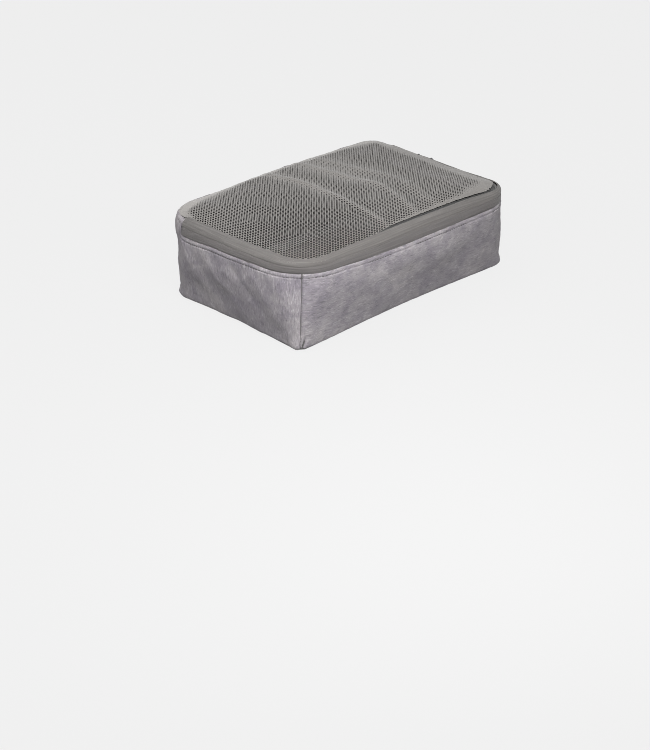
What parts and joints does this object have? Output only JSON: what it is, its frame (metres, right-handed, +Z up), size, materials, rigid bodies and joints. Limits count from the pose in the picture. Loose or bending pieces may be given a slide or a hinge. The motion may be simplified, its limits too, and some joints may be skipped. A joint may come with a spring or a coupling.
{
  "type": "packing cube",
  "caption": "Soft rectangular packing cube in heathered grey cloth with a see-through mesh lid, opened by a zip along the front and both ends.",
  "frame": {"origin": "middle of the underside of the floor, where the cube stands", "axes": "+X along the length, to the short end with the handle and the sliders; -Y to the long side that the zip opens, +Y to the side that the lid folds on; +Z up through the mesh lid"},
  "size_m": [0.2677, 0.179, 0.0803],
  "materials": {
    "heather_cloth": "heathered grey woven polyester, matt",
    "knitted_mesh": "taupe grey knitted mesh",
    "zip_tape": "taupe grey woven zip tape",
    "zip_coil": "nylon coil",
    "binding": "dark grey bias binding",
    "webbing": "grey polyester webbing",
    "slider_metal": "grey enamelled zinc"
  },
  "bodies": {
    "case": {"bottom_panel": "heather_cloth", "front_panel": "heather_cloth", "right_panel": "heather_cloth", "back_panel": "heather_cloth", "left_panel": "heather_cloth", "left_zip_end_tab": "heather_cloth", "right_zip_end_tab": "heather_cloth", "lower_zip_tape": "zip_tape", "lower_zip_coil": "zip_coil", "left_zip_stop": "zip_coil", "right_zip_stop": "zip_coil", "front_left_binding": "binding", "front_right_binding": "binding", "back_left_binding": "binding", "back_right_binding": "binding", "bottom_binding": "binding", "hinge_binding": "binding", "handle_strap": "webbing"},
    "lid": {"mesh_panel": "knitted_mesh", "upper_zip_tape": "zip_tape", "upper_zip_coil": "zip_coil", "lid_binding": "binding"},
    "rear_slider": {"rear_slider": "slider_metal"},
    "front_slider": {"front_slider": "slider_metal"},
    "rear_pull": {"rear_pull": "slider_metal"},
    "front_pull": {"front_pull": "slider_metal"}
  },
  "joints": [
    {"name": "lid_hinge", "type": "hinge", "parent": "case", "child": "lid", "pos_m": [0, 0.0829, 0.0752], "axis": [-1, 0, 0], "range_deg": [0, 180]},
    {"name": "rear_slider_slide", "type": "slide", "parent": "case", "child": "rear_slider", "axis": [0, 1, 0], "range_m": [0, 0.018]},
    {"name": "front_slider_slide", "type": "slide", "parent": "case", "child": "front_slider", "axis": [0, -1, 0], "range_m": [0, 0.066]},
    {"name": "rear_pull_hinge", "type": "hinge", "parent": "rear_slider", "child": "rear_pull", "pos_m": [0.13058, 0.0302, 0.0694], "axis": [0, -0.4226, -0.9063], "range_deg": [0, 100]},
    {"name": "front_pull_hinge", "type": "hinge", "parent": "front_slider", "child": "front_pull", "pos_m": [0.13058, 0.0178, 0.0694], "axis": [0, -0.4226, 0.9063], "range_deg": [0, 100]}
  ]
}
